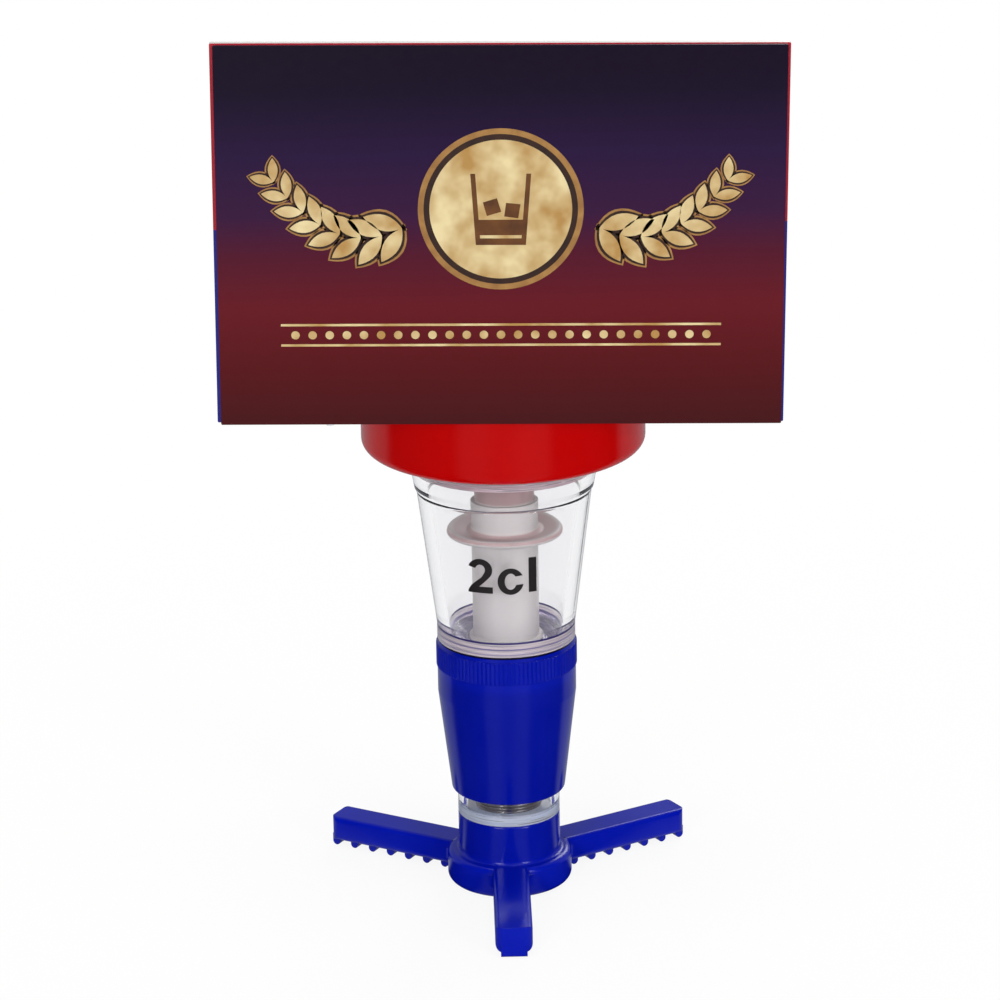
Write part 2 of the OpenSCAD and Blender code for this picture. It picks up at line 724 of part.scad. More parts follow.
// Red collar: outer wall, floor for the bottle's mouth, screw skirt and stiffening ribs
module collar() {
    r = collar_r;
    wall_r = r - collar_wall;
    skirt_z = collar_z + skirt_rise;
    skirt_out = skirt_r + skirt_wall;
    edge = collar_edge_r;
    top = collar_top_r;
    color(RED) {
        turned(concat(
            [[wall_r, collar_z]],
            arc([r - edge, collar_z + edge], edge, 270, 360),
            arc([r - top, collar_top - top], top, 0, 90),
            [[wall_r, collar_top], [wall_r, collar_floor_z], [core_d / 2 + fit_clear, collar_floor_z],
             [core_d / 2 + fit_clear, web_z], [skirt_r, web_z], [skirt_r, skirt_z],
             [skirt_out, skirt_z], [skirt_out, web_z], [wall_r, web_z]]));
        for (i = [0:collar_ribs - 1]) rotate((i + 0.5) * 360 / collar_ribs)
            translate([skirt_out - skirt_wall / 2, -collar_rib_t / 2, web_z - collar_rib_h])
                cube([wall_r - skirt_out + skirt_wall, collar_rib_t, collar_rib_h + collar_floor_t / 2]);
    }
}

// Soft stopper: flange under the bottle's mouth, plain band, and ribs that grip the neck
module stopper() {
    bore_r = core_d / 2 + fit_clear;
    band_z = collar_floor_z + stopper_flange_t;
    grip_z = band_z + band_h;
    root_r = root_d / 2;
    color(PALE) turned(concat(
        [[bore_r, collar_floor_z], [stopper_flange_d / 2, collar_floor_z],
         [stopper_flange_d / 2, band_z], [band_d / 2, band_z], [band_d / 2, grip_z], [root_r, grip_z]],
        [for (i = [0:grip_n - 1])
            let (z = grip_z + i * grip_pitch, r = (grip_d - i * grip_taper) / 2)
            each [[root_r, z + grip_pitch * 0.3], [r, z + grip_pitch * 0.4],
                  [r, z + grip_pitch * 0.4 + grip_edge_t], [root_r, z + grip_pitch]]],
        [[bore_r, grip_z + grip_n * grip_pitch]]));
}

// Red clip hooked over the collar's rim, with a flat leaf that carries the sign
module sign_clip() {
    leaf_z = collar_z + sign_rise + clip_rise;
    inner_r = collar_r - collar_wall - fit_clear - clip_t;
    top_z = collar_top + fit_clear;
    color(RED) {
        translate([-clip_w / 2, foam_y, leaf_z]) cube([clip_w, clip_t, clip_h]);
        difference() {
            translate([-hook_w / 2, foam_y, collar_top - hook_drop])
                cube([hook_w, -foam_y, hook_drop + fit_clear + clip_t]);
            translate([0, 0, collar_top - hook_drop - over])
                cylinder(h = hook_drop + clip_t + 2 * over, r = inner_r);
            difference() {
                translate([0, 0, collar_top - hook_drop - over])
                    cylinder(h = top_z - collar_top + hook_drop + over, r = collar_r + fit_clear);
                translate([0, 0, collar_top - hook_drop - 2 * over])
                    cylinder(h = hook_drop + 4 * over, r = collar_r - collar_wall - fit_clear);
            }
        }
    }
}

// Two double-sided foam pads between clip and plate
module foam_pads() {
    z = collar_z + sign_rise + clip_rise + clip_h / 2;
    color("white") for (s = [-1, 1])
        translate([s * clip_w / 4 - foam_w / 2, plate_y, z - foam_h / 2]) cube([foam_w, foam_t, foam_h]);
}

// White-cored board behind the card
module sign_plate() {
    color([0.30, 0.12, 0.45]) board(plate_w, plate_h, plate_t, plate_y, 0, sign_z, plate_skew);
}

// Clear adhesive dots between plate and card, the lower ones at the card's edge
module adhesive_dots() {
    low = -card_h / 2 + dot_d / 2 - dot_peek;
    high = card_h / 2 - dot_d;
    color(CLEAR) translate([card_shift, dot_y, card_z]) rotate([0, card_skew, 0])
        for (p = [[-dot_x, low], [-dot_x, high], [dot_x, high], [dot_x, low + 2 * dot_d]])
            translate([p[0], 0, p[1]]) rotate([90, 0, 0]) cylinder(h = dot_t, d = dot_d);
}

// Printed card at the front
module sign_card() {
    color([0.24, 0.08, 0.22]) board(card_w, card_h, card_t, card_y, card_shift, card_z, card_skew);
}

hub();
spindle_screw();
slider_tube();
return_spring();
spring_seat();
sleeve();
base_gasket();
chamber();
spindle();
outlet_ring();
chamber_gasket();
chamber_lid();
inlet_tube();
inlet_seal();
collar();
stopper();
sign_clip();
foam_pads();
sign_plate();
adhesive_dots();
sign_card();
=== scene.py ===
import math

import bmesh
import bpy
from mathutils import Matrix, Vector


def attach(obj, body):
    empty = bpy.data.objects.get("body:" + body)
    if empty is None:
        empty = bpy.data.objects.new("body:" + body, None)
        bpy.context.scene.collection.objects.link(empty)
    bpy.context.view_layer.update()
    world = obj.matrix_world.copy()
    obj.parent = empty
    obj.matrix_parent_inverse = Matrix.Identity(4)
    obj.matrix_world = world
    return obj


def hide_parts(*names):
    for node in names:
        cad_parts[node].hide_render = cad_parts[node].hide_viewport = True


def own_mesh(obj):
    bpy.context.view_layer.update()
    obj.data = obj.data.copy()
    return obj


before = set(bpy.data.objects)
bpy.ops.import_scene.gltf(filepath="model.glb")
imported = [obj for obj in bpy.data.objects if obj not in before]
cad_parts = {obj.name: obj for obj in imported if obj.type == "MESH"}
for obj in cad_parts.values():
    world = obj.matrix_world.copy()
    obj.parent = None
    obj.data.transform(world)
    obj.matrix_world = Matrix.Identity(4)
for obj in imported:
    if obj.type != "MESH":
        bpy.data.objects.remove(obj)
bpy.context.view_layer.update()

MM = 0.001


# Lifter hub: one injection moulding in blue polypropylene, with three toothed arms that a glass
# is pushed against. The slider tube is pressed into its ring and the spindle is screwed to it.
def linear(code):
    """An sRGB hex colour as linear RGBA."""
    shares = [int(code[i:i + 2], 16) / 255 for i in (1, 3, 5)]
    return [s / 12.92 if s <= 0.04045 else ((s + 0.055) / 1.055) ** 2.4 for s in shares] + [1]


def add(tree, kind, inputs=None, stops=(), **settings):
    """One node with its settings; each input is a value or the socket that feeds it, and a colour ramp
    gets its stops."""
    made = tree.nodes.new(kind)
    for name, value in settings.items():
        setattr(made, name, value)
    for place, _ in stops[1:-1]:
        made.color_ramp.elements.new(place)
    for i, (place, code) in enumerate(stops):
        made.color_ramp.elements[i].position = place
        made.color_ramp.elements[i].color = linear(code)
    for name, value in (inputs or {}).items():
        if isinstance(value, bpy.types.NodeSocket):
            tree.links.new(value, made.inputs[name])
        else:
            made.inputs[name].default_value = value
    return made


def blank(name):
    """A new material's empty tree, and the Object coordinates that its patterns read."""
    material = bpy.data.materials.new(name)
    material.use_nodes = True
    material.node_tree.nodes.clear()
    return material, material.node_tree, add(material.node_tree, "ShaderNodeTexCoord").outputs["Object"]


def moulded(name, deep, pale, rough, grain_mm, edge_mm, tints_and_painted_light=None, **sockets):
    """Moulded plastic: slow clouds of tone from the melt's flow, the mould's fine grain and softly
    broken edges. Tints by height in millimetres, if given, multiply the tone: shades of its own, and
    painted light and shade that other parts throw on it."""
    flow_mm, grain_depth_mm, gloss_swing = 15, 0.02, 0.04
    material, tree, where = blank(name)
    flow = add(tree, "ShaderNodeTexNoise", {"Vector": where, "Scale": 1 / (flow_mm * MM), "Detail": 3})
    tone = add(tree, "ShaderNodeMix", {0: flow.outputs[0], 6: linear(deep), 7: linear(pale)},
               data_type="RGBA")
    if tints_and_painted_light:
        low, high = tints_and_painted_light[0][0], tints_and_painted_light[-1][0]
        rise = add(tree, "ShaderNodeMapRange", {
            "Value": add(tree, "ShaderNodeSeparateXYZ", {"Vector": where}).outputs["Z"],
            "From Min": low * MM, "From Max": high * MM})
        tint = add(tree, "ShaderNodeValToRGB", {"Fac": rise.outputs[0]},
                   [((z - low) / (high - low), code) for z, code in tints_and_painted_light])
        tone = add(tree, "ShaderNodeMix", {0: 1, 6: tone.outputs[2], 7: tint.outputs[0]},
                   data_type="RGBA", blend_type="MULTIPLY")
    grain = add(tree, "ShaderNodeTexNoise",
                {"Vector": where, "Scale": 1 / (grain_mm * MM), "Detail": 2})
    gloss = add(tree, "ShaderNodeMapRange", {
        "Value": flow.outputs[0], "From Min": 0.3, "From Max": 0.7,
        "To Min": rough - gloss_swing, "To Max": rough + gloss_swing})
    edge = add(tree, "ShaderNodeBevel", {"Radius": edge_mm * MM}, samples=4)
    bump = add(tree, "ShaderNodeBump", {
        "Height": grain.outputs[0], "Strength": 0.2, "Distance": grain_depth_mm * MM,
        "Normal": edge.outputs[0]})
    shader = add(tree, "ShaderNodeBsdfPrincipled", {
        "Base Color": tone.outputs[2], "Roughness": gloss.outputs[0], "Normal": bump.outputs[0],
        **sockets})
    add(tree, "ShaderNodeOutputMaterial", {"Surface": shader.outputs[0]})
    return material


def dress(material, *names):
    """Gives CAD nodes their finished material."""
    for name in names:
        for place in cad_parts[name].material_slots:
            place.material = material


# Deep blue with a smooth skin: soft bands of light, bright edges and slow changes of tone. The sleeve is
# a shade deeper than hub and knurl, and its upper rim is painted dark: painted shade under the joint.
blue = moulded("blue_polypropylene_moulded", "#0111A9", "#031BB7", rough=0.15, grain_mm=0.4, edge_mm=0.4,
               tints_and_painted_light=[(7, "#FFFFFF"), (9, "#EEEEEE"), (26, "#E2E2E2"), (49, "#E2E2E2"),
                     (51, "#F6F6F6"), (57.9, "#F6F6F6"), (58.05, "#1C1C36")],
               **{"IOR": 1.49, "Specular IOR Level": 0.28})
dress(blue, "hub")


# Spindle screw: a small pan-head screw of stainless steel, driven from below through the hub's boss
# into the end of the spindle's stem.
steel, tree, where = blank("stainless_steel_drawn")
# Drawing leaves fine marks on the grey metal, here about 0.15 mm across so that they show.
marks = add(tree, "ShaderNodeTexNoise", {"Vector": where, "Scale": 1 / (0.15 * MM), "Detail": 2})
tone = add(tree, "ShaderNodeMix", {0: marks.outputs[0], 6: linear("#4A4648"), 7: linear("#8A8588")},
           data_type="RGBA")
gloss = add(tree, "ShaderNodeMapRange", {"Value": marks.outputs[0], "To Min": 0.22, "To Max": 0.38})
shader = add(tree, "ShaderNodeBsdfPrincipled", {
    "Base Color": tone.outputs[2], "Metallic": 1, "Roughness": gloss.outputs[0]})
add(tree, "ShaderNodeOutputMaterial", {"Surface": shader.outputs[0]})
dress(steel, "spindle_screw")


# Slider tube: clear styrene, moulded and polished by its mould, with a frosted foot where it is bonded
# into the hub's ring. It carries the spring on its floor and slides in the sleeve.
def styrene(name, bands):
    """Clear styrene with faint upright flow waves. In each band, given by its heights and least radius
    in millimetres, it has another tint, roughness and clarity. A band that is high enough has fine
    streaks round the axis."""
    wave_w, wave_h, streak_w, streak_h, streaked_h = 3 * MM, 25 * MM, 12 * MM, 0.4 * MM, 1
    material, tree, where = blank(name)
    stretch = add(tree, "ShaderNodeMapping", {
        "Vector": where, "Scale": (1 / wave_w, 1 / wave_w, 1 / wave_h)})
    waves = add(tree, "ShaderNodeTexNoise", {"Vector": stretch.outputs[0], "Scale": 1, "Detail": 2})
    polish = add(tree, "ShaderNodeMapRange", {"Value": waves.outputs[0], "To Min": 0.01, "To Max": 0.05})
    squeeze = add(tree, "ShaderNodeMapping", {
        "Vector": where, "Scale": (1 / streak_w, 1 / streak_w, 1 / streak_h)})
    rings = add(tree, "ShaderNodeTexNoise", {"Vector": squeeze.outputs[0], "Scale": 1, "Detail": 1})
    streaks = add(tree, "ShaderNodeMapRange", {
        "Value": rings.outputs[0], "From Min": 0.35, "From Max": 0.6, "To Min": 0.5})
    up = add(tree, "ShaderNodeSeparateXYZ", {"Vector": where}).outputs["Z"]
    flat = add(tree, "ShaderNodeVectorMath", {0: where, 1: (1, 1, 0)}, operation="MULTIPLY")
    away = add(tree, "ShaderNodeVectorMath", {0: flat.outputs[0]}, operation="LENGTH")
    tone, gloss, through = linear("#FBFBFC"), polish.outputs[0], 1
    for low, high, beyond, tint, rough, clarity in bands:
        level = add(tree, "ShaderNodeMath", {0: up, 1: (low + high) / 2 * MM, 2: (high - low) / 2 * MM},
                    operation="COMPARE")
        outer = add(tree, "ShaderNodeMath", {0: away.outputs["Value"], 1: beyond * MM},
                    operation="GREATER_THAN")
        both = add(tree, "ShaderNodeMath", {0: level.outputs[0], 1: outer.outputs[0]}, operation="MULTIPLY")
        dull = add(tree, "ShaderNodeMath",
                   {0: both.outputs[0], 1: streaks.outputs[0] if high - low > streaked_h else 1},
                   operation="MULTIPLY").outputs[0]
        tone = add(tree, "ShaderNodeMix", {0: dull, 6: tone, 7: linear(tint)}, data_type="RGBA").outputs[2]
        gloss = add(tree, "ShaderNodeMix", {0: dull, 2: gloss, 3: rough}, data_type="FLOAT").outputs[0]
        through = add(tree, "ShaderNodeMix", {0: dull, 2: through, 3: clarity},
                      data_type="FLOAT").outputs[0]
    bump = add(tree, "ShaderNodeBump", {"Height": waves.outputs[0], "Strength": 0.1, "Distance": 0.05 * MM})
    shader = add(tree, "ShaderNodeBsdfPrincipled", {
        "Base Color": tone, "Roughness": gloss, "IOR": 1.57, "Transmission Weight": through,
        "Normal": bump.outputs[0]})
    # Lamps shine through, so that the pieces inside are lit as they are behind real styrene.
    lamps = add(tree, "ShaderNodeBsdfTransparent", {"Color": linear("#FAFAFB")})
    path = add(tree, "ShaderNodeLightPath")
    lit = add(tree, "ShaderNodeMixShader", {
        0: path.outputs["Is Shadow Ray"], 1: shader.outputs[0], 2: lamps.outputs[0]})
    add(tree, "ShaderNodeOutputMaterial", {"Surface": lit.outputs[0]})
    return material


# Bonding has left the foot milky.
frosted = styrene("clear_styrene_bonded_foot", [(16.5, 18.65, 0, "#C2CDE4", 0.5, 0.2)])
dress(frosted, "slider_tube")


# Return spring: cold-wound stainless wire with three close curls at both ends, which rest on the
# slider's floor and on the washer. It shortens as the lifter goes up.
def tree_for(name, sizes):
    """An empty Geometry Nodes tree with named sizes as its inputs."""
    group = bpy.data.node_groups.new(name, "GeometryNodeTree")
    group.interface.new_socket("Geometry", in_out="INPUT", socket_type="NodeSocketGeometry")
    for size in sizes:
        group.interface.new_socket(size, in_out="INPUT", socket_type="NodeSocketFloat")
    group.interface.new_socket("Geometry", in_out="OUTPUT", socket_type="NodeSocketGeometry")
    return group, add(group, "NodeGroupInput").outputs


def grown(name, data, group, sizes):
    """The plain mesh object that a Geometry Nodes tree makes from data."""
    seed = bpy.data.objects.new(name + ".seed", data)
    bpy.context.collection.objects.link(seed)
    modifier = seed.modifiers.new("tree", "NODES")
    modifier.node_group = group
    for socket in group.interface.items_tree:
        if socket.in_out == "INPUT" and socket.name in sizes:
            modifier[socket.identifier] = sizes[socket.name]
    bpy.context.view_layer.update()
    seen = seed.evaluated_get(bpy.context.evaluated_depsgraph_get())
    mesh = bpy.data.meshes.new_from_object(seen)
    made = bpy.data.objects.new(name, mesh)
    bpy.context.collection.objects.link(made)
    bpy.data.objects.remove(seed)
    return made


wire_r, coil_r = 0.35 * MM, 7.15 * MM
spring_low, spring_high = 17.8 * MM, 52.15 * MM
curls, end_curls, end_pitch, steps = 12, 3, 0.74 * MM, 40
helix_low, helix_high = spring_low + wire_r, spring_high - wire_r
open_pitch = (helix_high - helix_low - 2 * end_curls * end_pitch) / (curls - 2 * end_curls)


def curl_height(turn):
    """Height of the wire's middle after so many turns."""
    if turn <= end_curls:
        return helix_low + turn * end_pitch
    if turn >= curls - end_curls:
        return helix_high - (curls - turn) * end_pitch
    return helix_low + end_curls * end_pitch + (turn - end_curls) * open_pitch


route = [(2 * math.pi * i / steps, curl_height(i / steps)) for i in range(curls * steps + 1)]
path_curve = bpy.data.curves.new("spring_route", "CURVE")
path_curve.dimensions = "3D"
spline = path_curve.splines.new("POLY")
spline.points.add(len(route) - 1)
for point, (turn, height) in zip(spline.points, route):
    point.co = (coil_r * math.cos(turn), coil_r * math.sin(turn), height, 1)
wound, sizes = tree_for("wound_wire", ["Wire radius"])
ring = add(wound, "GeometryNodeCurvePrimitiveCircle", {"Resolution": 14, "Radius": sizes["Wire radius"]})
tube = add(wound, "GeometryNodeCurveToMesh", {
    "Curve": sizes["Geometry"], "Profile Curve": ring.outputs["Curve"], "Fill Caps": True})
whole = add(wound, "GeometryNodeRealizeInstances", {"Geometry": tube.outputs[0]})
smooth = add(wound, "GeometryNodeSetShadeSmooth", {"Geometry": whole.outputs[0]})
coated = add(wound, "GeometryNodeSetMaterial", {"Geometry": smooth.outputs[0], "Material": steel})
add(wound, "NodeGroupOutput", {"Geometry": coated.outputs[0]})
spring = grown("wound_spring", path_curve, wound, {"Wire radius": wire_r})
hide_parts("return_spring")
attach(spring, "measure")
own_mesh(spring)


# Spring seat: a washer punched from stainless steel sheet. The spring holds it up against the chamber's
# floor, and it spreads the spring's push.
dress(steel, "spring_seat")


# Screw sleeve: blue polypropylene, moulded with a knurled band for the fingers. It screws up on the
# chamber's neck and guides the slider tube.
dress(blue, "sleeve")


# Base gasket: a thin ring moulded in silicone rubber, squeezed between sleeve and chamber as the sleeve
# is screwed up.
# A soft surface with hardly any shine, painted dark grey as the shade in the joint, so that the joint shows
# as a dark line.
shade_dark_silicone = moulded("silicone_rubber_greyed", "#3E3C4A", "#4A4856", rough=0.55, grain_mm=0.8, edge_mm=0.4)
dress(shade_dark_silicone, "base_gasket")


# Measuring chamber: clear styrene in one moulding, with a screw neck below, a step line near the top
# and a screw rim that the collar holds. The lid closes it.
# The thread on the neck and the flow marks in the thick base scatter the light. Their lavender and violet
# tints are painted: the blue of the sleeve seen through the styrene. The thin dark lines at the steps of
# the mould, at the top of the base and in the step line, are painted shade.
clear = styrene("clear_styrene_moulded", [
    (40, 58.3, 0, "#C6C0DC", 0.5, 0.25), (58.2, 61.05, 0, "#CBC2E4", 0.2, 0.65),
    (60.9, 61.3, 11.9, "#5A4E8E", 0.3, 0.35), (58.4, 61.6, 14.5, "#F6E8EE", 0.15, 0.35),
    (59.05, 59.25, 14.5, "#A89CC8", 0.3, 0.35), (60.2, 60.5, 14.5, "#8E84B8", 0.3, 0.35),
    (61.6, 62.05, 15, "#2C2170", 0.4, 0.15), (93.55, 93.7, 18.4, "#2E2848", 0.5, 0.1)])
dress(clear, "chamber")


# Measure mark: the chamber's content, printed on its front in black pad-printing ink that follows
# the cone. The strokes are those of a plain bold sans serif.
ink, tree, where = blank("pad_printing_ink_black")
# The ink is a little uneven, in patches of about half a millimetre.
patches = add(tree, "ShaderNodeTexNoise", {"Vector": where, "Scale": 1 / (0.5 * MM), "Detail": 3})
tone = add(tree, "ShaderNodeMix", {0: patches.outputs[0], 6: linear("#141011"), 7: linear("#2A2323")},
           data_type="RGBA")
shader = add(tree, "ShaderNodeBsdfPrincipled", {"Base Color": tone.outputs[2], "Roughness": 0.45})
add(tree, "ShaderNodeOutputMaterial", {"Surface": shader.outputs[0]})


def oval(middle, across, up, first, last, count=28):
    """Points on an ellipse, from one angle to another in degrees."""
    turns = [math.radians(first + (last - first) * i / count) for i in range(count + 1)]
    return [(middle[0] + across * math.cos(a), middle[1] + up * math.sin(a)) for a in turns]


# Millimetres across the chamber's front from its middle line, and above the feet.
two = (oval((-5.53, 79.7), 2.64, 2.68, 163, -30) + [(-3.95, 77.5), (-4.85, 76.55), (-5.75, 75.65)]
       + [(-2.8, 75.65), (-2.8, 74.1), (-8.17, 74.1), (-8.05, 74.85), (-7.45, 75.9), (-6.4, 76.95),
          (-5.25, 77.95)] + oval((-5.53, 79.75), 1.06, 1.22, -38, 165))
cee = oval((1.12, 77.05), 2.88, 3.2, 26, 346.5) + oval((1.12, 77.05), 1.3, 1.95, 334, 38)
ell = [(5.05, 74.2), (6.75, 74.2), (6.75, 82.6), (5.05, 82.6)]
# Radius and height of the chamber's outer face, at its foot and at the step line.
cone_low, cone_high = (15.43, 61.9), (19.45, 93.6)


def on_cone(point, off):
    """A point of the print, wrapped on the chamber's outer face, in metres."""
    share = (point[1] - cone_low[1]) / (cone_high[1] - cone_low[1])
    r = cone_low[0] + share * (cone_high[0] - cone_low[0])
    a = math.asin(point[0] / r)
    return Vector(((r + off) * math.sin(a), -(r + off) * math.cos(a), point[1])) * MM


def printed(name, outlines, place, strips=None, lifts=(0.01, 0.04)):
    """A thin closed print: flat outlines in millimetres, cut in strips where they have to bend, put
    in place with place(point, lift) on their two faces."""
    shape = bmesh.new()
    for outline in outlines:
        shape.faces.new([shape.verts.new((x, y, 0)) for x, y in outline])
    shape.normal_update()
    bmesh.ops.triangulate(shape, faces=shape.faces[:])
    for x in strips or []:
        bmesh.ops.bisect_plane(shape, geom=shape.verts[:] + shape.edges[:] + shape.faces[:],
                               plane_co=(x, 0, 0), plane_no=(1, 0, 0))
    under = {v: v.co.copy() for v in shape.verts}
    raised = bmesh.ops.extrude_face_region(shape, geom=shape.faces[:], use_keep_orig=True)
    over = [v for v in raised["geom"] if isinstance(v, bmesh.types.BMVert)]
    for v in over:
        v.co = place((v.co.x, v.co.y), lifts[1])
    for v, flat in under.items():
        v.co = place((flat.x, flat.y), lifts[0])
    bmesh.ops.recalc_face_normals(shape, faces=shape.faces[:])
    mesh = bpy.data.meshes.new(name)
    shape.to_mesh(mesh)
    shape.free()
    made = bpy.data.objects.new(name, mesh)
    bpy.context.collection.objects.link(made)
    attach(made, "measure")
    return made


strip_w, strips_left, strips_right = 0.5, 16, 14
mark = printed("measure_mark", [two, cee, ell], on_cone,
               [i * strip_w for i in range(-strips_left, strips_right)])
mark.data.materials.append(ink)


# Spindle: off-white acetal, moulded hollow, with a conical head and a foot bead. It slides on the inlet
# tube, whose ports it covers, and its plug opens and closes the chamber below.
# Its cool white is painted pink where the red collar shines on it, in the head's dish: painted reflected
# light. At the top of the chamber, under the collar, it is painted pink and darker: painted reflected light
# and painted shade.
white = moulded("white_acetal_moulded", "#B5B1AE", "#BCB8B5", rough=0.42, grain_mm=0.5, edge_mm=0.2,
                tints_and_painted_light=[(84.1, "#FFFFFF"), (84.2, "#E8C9C9"), (84.7, "#EACCCC"), (84.88, "#FFFFFF"),
                      (91.7, "#FFFFFF"), (92.2, "#D2B2B2"), (104, "#CBA7A7"), (105, "#FFFFFF")],
                IOR=1.48)
dress(white, "spindle")


# Outlet ring: an O-ring moulded in dark nitrile rubber. It sits in the groove of the spindle's plug and
# closes the outlet.
rubber, tree, where = blank("nitrile_rubber_dark")
# A dull skin with a fine dusty bloom, in patches of about 2 mm.
bloom = add(tree, "ShaderNodeTexNoise", {"Vector": where, "Scale": 1 / (2 * MM), "Detail": 4})
tone = add(tree, "ShaderNodeMix", {0: bloom.outputs[0], 6: linear("#17161C"), 7: linear("#2B2A33")},
           data_type="RGBA")
shader = add(tree, "ShaderNodeBsdfPrincipled", {
    "Base Color": tone.outputs[2], "Roughness": 0.6, "IOR": 1.5})
add(tree, "ShaderNodeOutputMaterial", {"Surface": shader.outputs[0]})
dress(rubber, "outlet_ring")


# Chamber gasket: a flat ring moulded in silicone rubber, squeezed between the chamber's rim and the lid
# as the collar is screwed on.
# A soft, milky surface with hardly any shine.
silicone = moulded("silicone_rubber_moulded", "#C4BEB0", "#CFC9BC", rough=0.55, grain_mm=0.8, edge_mm=0.4)
dress(silicone, "chamber_gasket")


# Chamber lid: a styrene cup that hangs in the chamber's rim and holds the inlet tube. It is milky, and
# under the collar its pink tint is painted red light from the collar.
milky = styrene("milky_styrene_moulded", [(90, 120, 0, "#B8969E", 0.4, 0.25)])
dress(milky, "chamber_lid")


# Inlet tube: white acetal like the spindle, from the stopper down into the spindle's bore, with the
# ports that let the spirit in. A soft washer seals its shoulder on the lid.
# The white's painted pink light and painted shade under the collar lie on this tube too.
dress(white, "inlet_tube")
dress(silicone, "inlet_seal")


# Collar: glossy red polypropylene, moulded as the bottle's cup and the chamber's screw cap in one.
# Full and bright, with the soft bands of light that a smooth mould gives.
red = moulded("red_polypropylene_moulded", "#BC0203", "#C60304", rough=0.12, grain_mm=0.5, edge_mm=0.3,
              **{"IOR": 1.49, "Specular IOR Level": 0.25})
dress(red, "collar")


# Stopper: pale food-grade silicone rubber, moulded with ribs that grip the inside of the neck. It is
# pushed over the inlet tube and rests on the collar's floor.
dress(silicone, "stopper")


# Sign clip: red polypropylene like the collar, moulded in one piece. It hooks over the collar's rim and
# has a flat leaf for the sign's plate.
dress(red, "sign_clip")


# Foam pads: double-sided tape of white closed-cell foam, 0.8 mm thick, cut in two strips that hold the
# sign's plate to the clip.
foam, tree, where = blank("foam_tape_closed_cell")
# Cells of some 0.4 mm show on the cut edges.
cells = add(tree, "ShaderNodeTexVoronoi", {"Vector": where, "Scale": 1 / (0.4 * MM)})
tone = add(tree, "ShaderNodeMix", {
    0: cells.outputs["Distance"], 6: linear("#B9B8B4"), 7: linear("#E4E3DF")}, data_type="RGBA")
bump = add(tree, "ShaderNodeBump", {
    "Height": cells.outputs["Distance"], "Strength": 0.5, "Distance": 0.1 * MM})
shader = add(tree, "ShaderNodeBsdfPrincipled", {
    "Base Color": tone.outputs[2], "Roughness": 0.85, "Normal": bump.outputs[0]})
add(tree, "ShaderNodeOutputMaterial", {"Surface": shader.outputs[0]})
dress(foam, "foam_pads")


# Sign plate: white-cored board, screen-printed red above and blue below on its front. The cut edges
# and the back stay white. Foam pads hold it to the clip.
board, tree, where = blank("printed_board_white_core")
parting_z = 162 * MM
place = add(tree, "ShaderNodeSeparateXYZ", {"Vector": where})
low = add(tree, "ShaderNodeMath", {0: place.outputs["Z"], 1: parting_z}, operation="LESS_THAN")
print_tone = add(tree, "ShaderNodeMix", {0: low.outputs[0], 6: linear("#C41830"), 7: linear("#20229A")},
                 data_type="RGBA")
facing = add(tree, "ShaderNodeSeparateXYZ", {
    "Vector": add(tree, "ShaderNodeNewGeometry").outputs["True Normal"]})
front = add(tree, "ShaderNodeMath", {0: facing.outputs["Y"], 1: -0.5}, operation="LESS_THAN")
# Paper fibres of about 0.6 mm tint the bare board.
fibres = add(tree, "ShaderNodeTexNoise", {"Vector": where, "Scale": 1 / (0.6 * MM), "Detail": 4})
bare = add(tree, "ShaderNodeMix", {0: fibres.outputs[0], 6: linear("#DEDCD8"), 7: linear("#F0EEEB")},
           data_type="RGBA")
tone = add(tree, "ShaderNodeMix", {0: front.outputs[0], 6: bare.outputs[2], 7: print_tone.outputs[2]},
           data_type="RGBA")
shader = add(tree, "ShaderNodeBsdfPrincipled", {"Base Color": tone.outputs[2], "Roughness": 0.4})
add(tree, "ShaderNodeOutputMaterial", {"Surface": shader.outputs[0]})
dress(board, "sign_plate")


# Adhesive dots: blobs of clear acrylic gel that stick the card to the plate. One of them peeps out below
# the card.
gel, tree, where = blank("acrylic_gel_clear")
# Soft gel has a slightly wavy skin, about 1 mm from wave to wave.
waves = add(tree, "ShaderNodeTexNoise", {"Vector": where, "Scale": 1 / (1 * MM), "Detail": 2})
bump = add(tree, "ShaderNodeBump", {"Height": waves.outputs[0], "Strength": 0.3, "Distance": 0.05 * MM})
shader = add(tree, "ShaderNodeBsdfPrincipled", {
    "Base Color": linear("#E8EAEE"), "Roughness": 0.12, "IOR": 1.47, "Transmission Weight": 1,
    "Normal": bump.outputs[0]})
add(tree, "ShaderNodeOutputMaterial", {"Surface": shader.outputs[0]})
dress(gel, "adhesive_dots")


# Sign card: offset-printed and laminated card, dark violet above and maroon below, stuck on a little
# out of square. Its film gives a weak, broad shine.
card, tree, where = blank("printed_card_laminated")
card_middle, card_half = 159.75 * MM, 40.6 * MM
height = add(tree, "ShaderNodeMapRange", {
    "Value": add(tree, "ShaderNodeSeparateXYZ", {"Vector": where}).outputs["Z"],
    "From Min": card_middle - card_half, "From Max": card_middle + card_half})
shade = add(tree, "ShaderNodeValToRGB", {"Fac": height.outputs[0]},
            [(0, "#481014"), (0.16, "#5A0F15"), (0.32, "#68141F"), (0.46, "#54132B"), (0.56, "#3A153D"),
             (0.72, "#29123D"), (0.88, "#170926"), (1, "#150620")])
